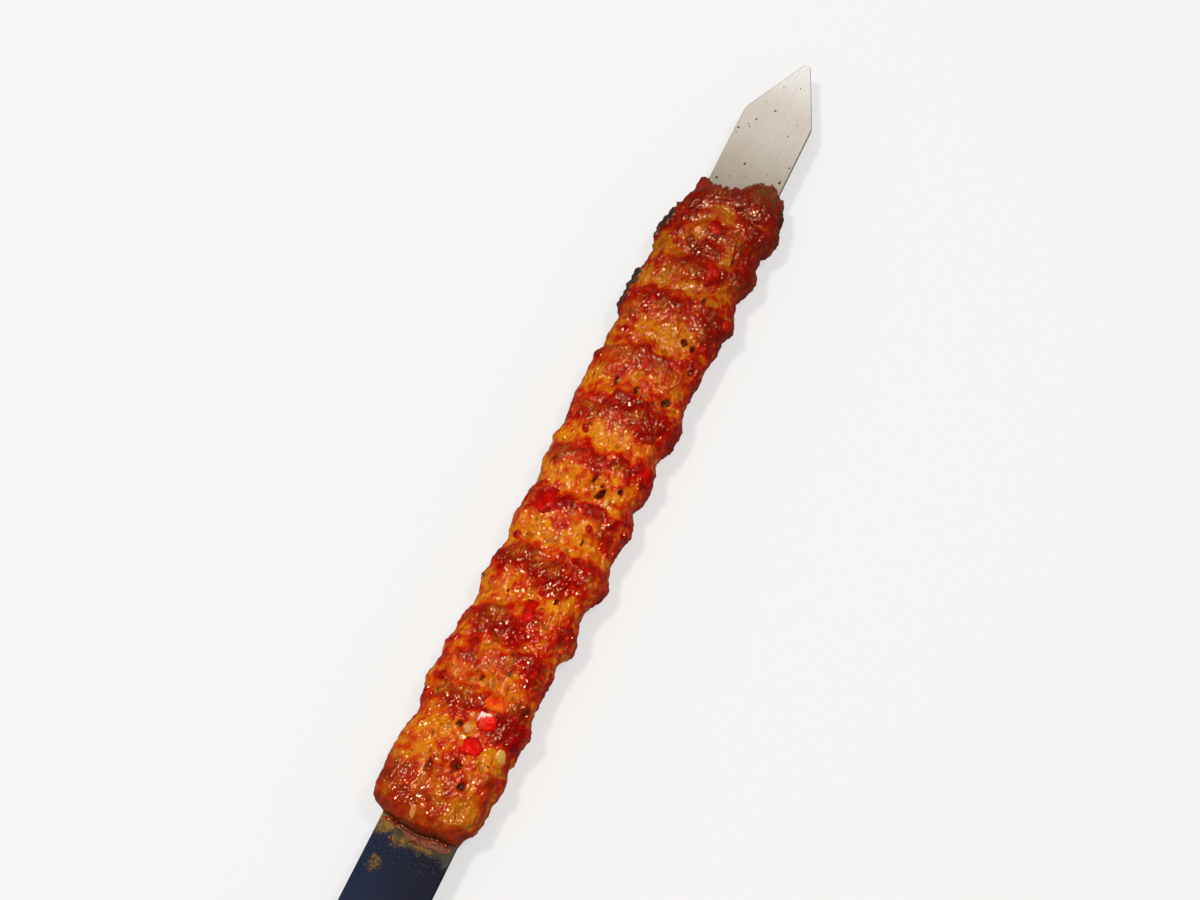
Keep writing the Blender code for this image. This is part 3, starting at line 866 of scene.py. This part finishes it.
def make_pepper(node, seed):
    """The knife-cut block, softened: rounded, puckered, and pressed into the meat."""
    bm = bmesh.new()
    bm.from_mesh(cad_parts[node].data)
    bmesh.ops.remove_doubles(bm, verts=bm.verts, dist=0.01 * MM)
    bmesh.ops.join_triangles(
        bm, faces=bm.faces, angle_face_threshold=0.1, angle_shape_threshold=3.1
    )
    bmesh.ops.recalc_face_normals(bm, faces=bm.faces)
    bmesh.ops.subdivide_edges(bm, edges=bm.edges, cuts=6, use_grid_fill=True, smooth=0.3)
    soften(bm, 5)
    low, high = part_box(node)
    middle, half = (low + high) / 2, (high - low) / 2
    direction = outward(middle)
    for vert in bm.verts:
        offset = vert.co - middle
        rise = direction * offset.dot(direction)
        place = vert.co - rise
        pull = Vector((uneven(place, 5 * MM, seed), uneven(place, 5 * MM, seed + 3), 0))
        pull = (pull - direction * pull.dot(direction)) * 3.0 * MM
        vert.co += pull + PEPPER_SPREAD * (offset - rise)
    press_in(bm, direction, PEPPER_PROUD, PEPPER_DEPTH)
    bm.normal_update()
    pith_layer = bm.verts.layers.float.new("pith")
    for vert in bm.verts:
        offset = vert.co - middle
        pucker = 0.5 * uneven(vert.co, 2.8 * MM, seed) + 0.3 * uneven(vert.co, 1.1 * MM, seed + 4)
        vert.co += vert.normal * (pucker * MM)
        edge = offset.x / half.x * 0.75 + offset.y / half.y * 0.65
        vert[pith_layer] = soft_step(edge + 0.5 * uneven(vert.co, 1.2 * MM, 2.0), 0.45, 0.65)
    return finished(bm, node.replace("dice", "piece"))


pepper_nodes = sorted(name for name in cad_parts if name.startswith("pepper_dice"))
for seed, node in enumerate(pepper_nodes):
    pepper = make_pepper(node, 3.0 * seed)
    pepper.data.materials.append(PEPPER_FINISHES.get(node, red_pepper))
    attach(pepper, "root")
    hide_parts(node)


# ---- Scraps of pepper, onion and herb ----
# The same mince holds thin scraps of pepper skin, soft clear onion, and a few herb flecks, all
# smaller than a pea. They lie flush in the skin, where the kneading left them.

# How far along, how far across, length, width, and how far turned.
PEPPER_SCRAPS = [
    (26, -0.5, 5.2, 4.6, 20), (77, -17, 3.6, 3, 10), (128, 11, 3, 2.6, 60), (155, 16.5, 3, 4, 30),
    (178, 16.5, 3.2, 2.2, 0), (63, -20.5, 4.2, 3, 0), (167, -8.5, 2.6, 2.2, 70),
    (223.5, 11, 4.8, 3.2, 25), (227, -13, 4.6, 4.6, 15), (224, -18.3, 4.6, 2.4, 0),
    (159, -7.5, 3, 2.6, 0), (115.5, 14.5, 3, 2.6, 65), (66, 10, 3.4, 2.4, 30),
    (240, 17, 3, 2.2, 0),
]
ONION_BITS = [
    (259, -16.3, 4.8, 3.8, 35), (154.5, -9.8, 3.6, 1.6, 10), (255, -1.5, 3.4, 2.8, 50),
    (29.5, 6.2, 3.6, 2.6, 15), (290, 3.2, 4.4, 1.4, 5),
]
SOFTENED = 1.3  # makes up for what softening takes off a scrap's size
CORNERS_OFF = 0.8
HERB_FLECKS = [
    (231, -6.2, 1.9, 1.1, 20), (97, 3.5, 1, 0.7, 60), (203, -6, 1.2, 0.8, 0),
    (54, 11.5, 1.1, 0.7, 45), (184.5, -3.5, 1, 0.6, 10), (265, -14, 1.1, 0.7, 80),
]


def place_on_top(along, across):
    """A place on the top of the meat, and the direction out of it there."""
    above = Vector((meat_high.x - along * MM, across * MM, meat_high.z + 5 * MM))
    hit = meat_skin.ray_cast(above, Vector((0, 0, -1)), 40 * MM)[0]
    if hit is None:
        hit = Vector((above.x, math.copysign(HALF_WIDTH, across), BLADE_MIDDLE + 2 * MM))
    return hit, outward(hit)


def join_in(whole, bm):
    """Adds a finished lump to the bmesh of the whole piece."""
    lump = bpy.data.meshes.new("lump")
    bm.to_mesh(lump)
    bm.free()
    whole.from_mesh(lump)
    bpy.data.meshes.remove(lump)


def make_scraps(name, places, thickness, proud, divisions):
    """Thin uneven scraps pressed into the skin of the meat, joined as one piece."""
    whole = bmesh.new()
    for number, (along, across, length, width, degrees) in enumerate(places):
        hit, direction = place_on_top(along, across)
        bm = bmesh.new()
        bmesh.ops.create_cube(bm, size=1)
        bmesh.ops.subdivide_edges(bm, edges=bm.edges, cuts=divisions, use_grid_fill=True)
        soften(bm, 4)
        size = Vector((length * SOFTENED, width * SOFTENED, thickness)) * MM
        for vert in bm.verts:
            out = math.hypot(vert.co.x, vert.co.y)
            reach = max(abs(vert.co.x), abs(vert.co.y))
            rounded = 1 - CORNERS_OFF * (1 - reach / out) if out > 0 else 1
            bulge = rounded * (1 + 0.6 * uneven(vert.co, 0.9, 3.1 * number))
            vert.co = Vector((vert.co.x * bulge, vert.co.y * bulge, vert.co.z)) * size
        upright = Matrix.Translation(hit) @ direction.to_track_quat("Z", "Y").to_matrix().to_4x4()
        turned = Matrix.Rotation(math.radians(degrees), 4, "Z")
        bmesh.ops.transform(bm, matrix=upright @ turned, verts=bm.verts)
        press_in(bm, direction, proud, thickness * MM)
        bm.normal_update()
        for vert in bm.verts:
            vert.co += vert.normal * (0.5 * uneven(vert.co, 1.6 * MM, number) * proud)
        join_in(whole, bm)
    return finished(whole, name)


def onion_finish():
    material, tree, shader = new_finish("soft_onion")
    cloudy = speckle(tree, 1.8 * MM, stretch=2.0, detail=3)
    cloudy = between(tree, cloudy, 0.35, 0.65)
    colour = layer(tree, cloudy, paint(232, 164, 84), paint(210, 114, 40))
    _, across = along_and_across(tree)
    clear = times(tree, between(tree, across, -7 * MM, -11 * MM), 0.6)
    colour = layer(tree, clear, colour, paint(232, 184, 72))
    # Painted shade darkens each bit towards its rim.
    colour = layer(tree, times(tree, marked(tree, "shaded_rim"), 0.85), colour, paint(198, 92, 18))
    tree.links.new(colour, shader.inputs["Base Color"])
    shader.inputs["Roughness"].default_value = 0.30
    shader.inputs["Specular IOR Level"].default_value = 0.5
    shader.inputs["Coat Weight"].default_value = 0.3
    shader.inputs["Coat Roughness"].default_value = 0.1
    let_light_in(shader, 0.35, (1.0, 0.5, 0.2), 2 * MM)
    layers = speckle(tree, 0.8 * MM, stretch=3.0)
    raise_surface(tree, shader, (layers, 0.4, 0.3 * MM))
    return material


def herb_finish():
    material, tree, shader = new_finish("dried_herb")
    mottled = speckle(tree, 0.5 * MM, detail=3)
    colour = layer(tree, between(tree, mottled, 0.4, 0.6), paint(40, 42, 26), paint(78, 72, 40))
    tree.links.new(colour, shader.inputs["Base Color"])
    shader.inputs["Roughness"].default_value = 0.5
    return material


pepper_scraps = make_scraps(
    "pepper_scraps", PEPPER_SCRAPS, thickness=1.6, proud=0.45 * MM, divisions=5
)
pepper_scraps.data.materials.append(
    pepper_finish("pepper_skin", paint(200, 30, 6), paint(148, 6, 3))
)
onion_bits = make_scraps("onion_bits", ONION_BITS, thickness=1.6, proud=0.55 * MM, divisions=5)
onion_bits.data.materials.append(onion_finish())
herb_flecks = make_scraps("herb_flecks", HERB_FLECKS, thickness=0.8, proud=0.35 * MM, divisions=3)
herb_flecks.data.materials.append(herb_finish())
for piece, slot in (
    (pepper_scraps, "red_pepper"), (onion_bits, "grilled_meat"), (herb_flecks, "grilled_meat")
):
    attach(piece, "root")


# ---- Crumbs on the blade ----
# Scraps of mince and juice that have burnt on to the steel at both ends of the meat: brown
# crumbs by its edges, and a few dark specks out towards the point.

# How far beyond the meat's end by the point, how far across, and how wide.
POINT_SPECKS = [
    (14.7, 4.1, 1.1), (3.8, 12.2, 1.0), (44.5, 2.6, 0.9), (30.7, 13.7, 0.9), (57.5, 4.0, 0.5),
    (47.5, 7.5, 0.4), (37.5, 8.3, 0.7), (33.0, 9.6, 0.7), (34.2, 10.6, 0.6), (28.0, 13.6, 0.5),
    (8.3, 3.0, 0.5), (8.6, 1.1, 0.5), (6.5, 7.7, 0.5), (6.5, -3.2, 0.4), (22.5, -6.8, 0.4),
    (34.6, -7.2, 0.6), (41.2, -8.6, 0.5), (59.3, -2.8, 0.5), (19.9, -13.8, 0.7),
    (11.4, -12.8, 1.1), (12.5, -12.7, 0.6),
]

random.seed(7)


def make_crumbs(name, places):
    """Small lumps standing on the blade. Each place is x, y and width, in metres."""
    whole = bmesh.new()
    for number, (x, y, width) in enumerate(places):
        bm = bmesh.new()
        bmesh.ops.create_icosphere(bm, subdivisions=2, radius=0.5)
        for vert in bm.verts:
            bulge = 1 + 0.9 * uneven(vert.co, 0.5, 1.7 * number)
            vert.co = Vector((vert.co.x * bulge, vert.co.y * bulge * 0.8, vert.co.z * 0.7))
            vert.co.z = max(vert.co.z, -0.12)
        turned = Matrix.Rotation(number * 2.4, 4, "Z")
        spot = Matrix.Translation((x, y, blade_high.z + 0.10 * width))
        bmesh.ops.transform(bm, matrix=spot @ turned @ Matrix.Scale(width, 4), verts=bm.verts)
        join_in(whole, bm)
    return finished(whole, name)


def crumb_finish(name, light, dark):
    material, tree, shader = new_finish(name)
    mottled = speckle(tree, 0.7 * MM, detail=3)
    colour = layer(tree, between(tree, mottled, 0.38, 0.62), light, dark)
    tree.links.new(colour, shader.inputs["Base Color"])
    shader.inputs["Roughness"].default_value = 0.55
    shader.inputs["Specular IOR Level"].default_value = 0.3
    raise_surface(tree, shader, (mottled, 0.5, 0.2 * MM))
    return material


specks = [(meat_high.x + gap * MM, side * MM, width * MM) for gap, side, width in POINT_SPECKS]
burnt_specks = make_crumbs("burnt_specks", specks)
burnt_specks.data.materials.append(
    crumb_finish("burnt_juice", paint(112, 84, 56), paint(58, 42, 32))
)

CRUMBS = 36
BY_THE_POINT = 0.6  # the share of them at that end, where they are larger
HALF_BLADE = 14.3
stuck = []
for _ in range(CRUMBS):
    width = random.uniform(0.5, 1.5) ** 1.4 * MM
    if random.random() < BY_THE_POINT:
        x = meat_high.x + random.uniform(-4.0, 1.2) * MM
    else:
        x = meat_low.x - random.uniform(-0.8, 1.4) * MM
        width *= 0.6
    stuck.append((x, random.uniform(-HALF_BLADE, HALF_BLADE) * MM, width))
mince_crumbs = make_crumbs("mince_crumbs", stuck)
mince_crumbs.data.materials.append(
    crumb_finish("browned_crumb", paint(176, 92, 28), paint(112, 34, 14))
)
for piece in (burnt_specks, mince_crumbs):
    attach(piece, "root")


# ---- The table, the light and the camera ----
# A plain pale table top, two soft lamps overhead, a weak broad one beyond the point for the steel
# to mirror, and a camera looking down along the skewer from its handle side.

TABLE_REACH = 6
bm = bmesh.new()
bmesh.ops.create_grid(bm, x_segments=1, y_segments=1, size=TABLE_REACH)
bmesh.ops.translate(bm, verts=bm.verts, vec=(0, 0, cad_box[0].z))
table = finished(bm, "table_top")

# It looks pale, but throws less light back on to the sides of the meat than white paper would.
SEEN_GREY, THROWN_GREY, MIRRORED_GREY = [(grey, grey, grey, 1) for grey in (0.33, 0.45, 0.10)]
GLOW = 0.59
material, tree, shader = new_finish("pale_table")
rays = add(tree, "LightPath").outputs
colour = layer(tree, rays["Is Glossy Ray"], THROWN_GREY, MIRRORED_GREY)
colour = layer(tree, rays["Is Camera Ray"], colour, SEEN_GREY)
tree.links.new(colour, shader.inputs["Base Color"])
glow = times(tree, rays["Is Camera Ray"], GLOW)
tree.links.new(glow, shader.inputs["Emission Strength"])
shader.inputs["Emission Color"].default_value = (1.0, 0.99, 0.98, 1)
shader.inputs["Roughness"].default_value = 0.8
shader.inputs["Specular IOR Level"].default_value = 0.2
table.data.materials.append(material)

# The room looks pale, but gives only a little light, so that the lamps shape the meat.
ROOM_LIGHT = 0.42
ROOM_PALE = 0.95
ROOM_GLOSS = 0.01
world = bpy.data.worlds.new("pale_room")
bpy.context.scene.world = world
world.use_nodes = True
room = world.node_tree
rays = add(room, "LightPath").outputs
given = spread(room, rays["Is Glossy Ray"], ROOM_LIGHT, ROOM_GLOSS)
strength = spread(room, rays["Is Camera Ray"], given, ROOM_PALE)
room.links.new(strength, room.nodes["Background"].inputs["Strength"])
room.nodes["Background"].inputs["Color"].default_value = (1.0, 1.0, 1.0, 1)


LIT_SPOT = Vector((0.03, 0, 0))


def soft_light(name, place, size, power, tint):
    """A round lamp, turned towards the spot that all of them light."""
    light = bpy.data.lights.new(name, "AREA")
    light.shape = "DISK"
    light.size = size
    light.energy = power
    light.color = tint
    lamp = put_in(name, light)
    lamp.location = place
    lamp.rotation_euler = (LIT_SPOT - Vector(place)).to_track_quat("-Z", "Y").to_euler()


soft_light("key_light", (-0.10, 0.60, 1.90), size=0.26, power=17, tint=(1.0, 0.96, 0.91))
soft_light("fill_light", (0.35, -0.70, 1.80), size=0.22, power=7.5, tint=(1.0, 0.97, 0.93))
soft_light("point_light", (1.32, 0.36, 1.55), size=0.62, power=1.3, tint=(1.0, 0.98, 0.95))

blade_middle = (blade_low + blade_high) / 2
AIM = blade_middle + Vector((57.8, 4.2, 0)) * MM
STANDS = Vector((-307.5, -165.5, 692.1)) * MM
ROLL = math.radians(-4.2)
LENS, FILM_WIDTH = 60, 36
view_camera = bpy.data.cameras.new("view_camera")
view_camera.lens = LENS
view_camera.sensor_width = FILM_WIDTH
camera = put_in("view_camera", view_camera)
camera.location = AIM + STANDS
camera.rotation_mode = "QUATERNION"
rolled = Matrix.Rotation(ROLL, 4, "Z").to_quaternion()
camera.rotation_quaternion = (-STANDS).to_track_quat("-Z", "Y") @ rolled
bpy.context.scene.camera = camera
bpy.context.scene.view_settings.view_transform = "Standard"
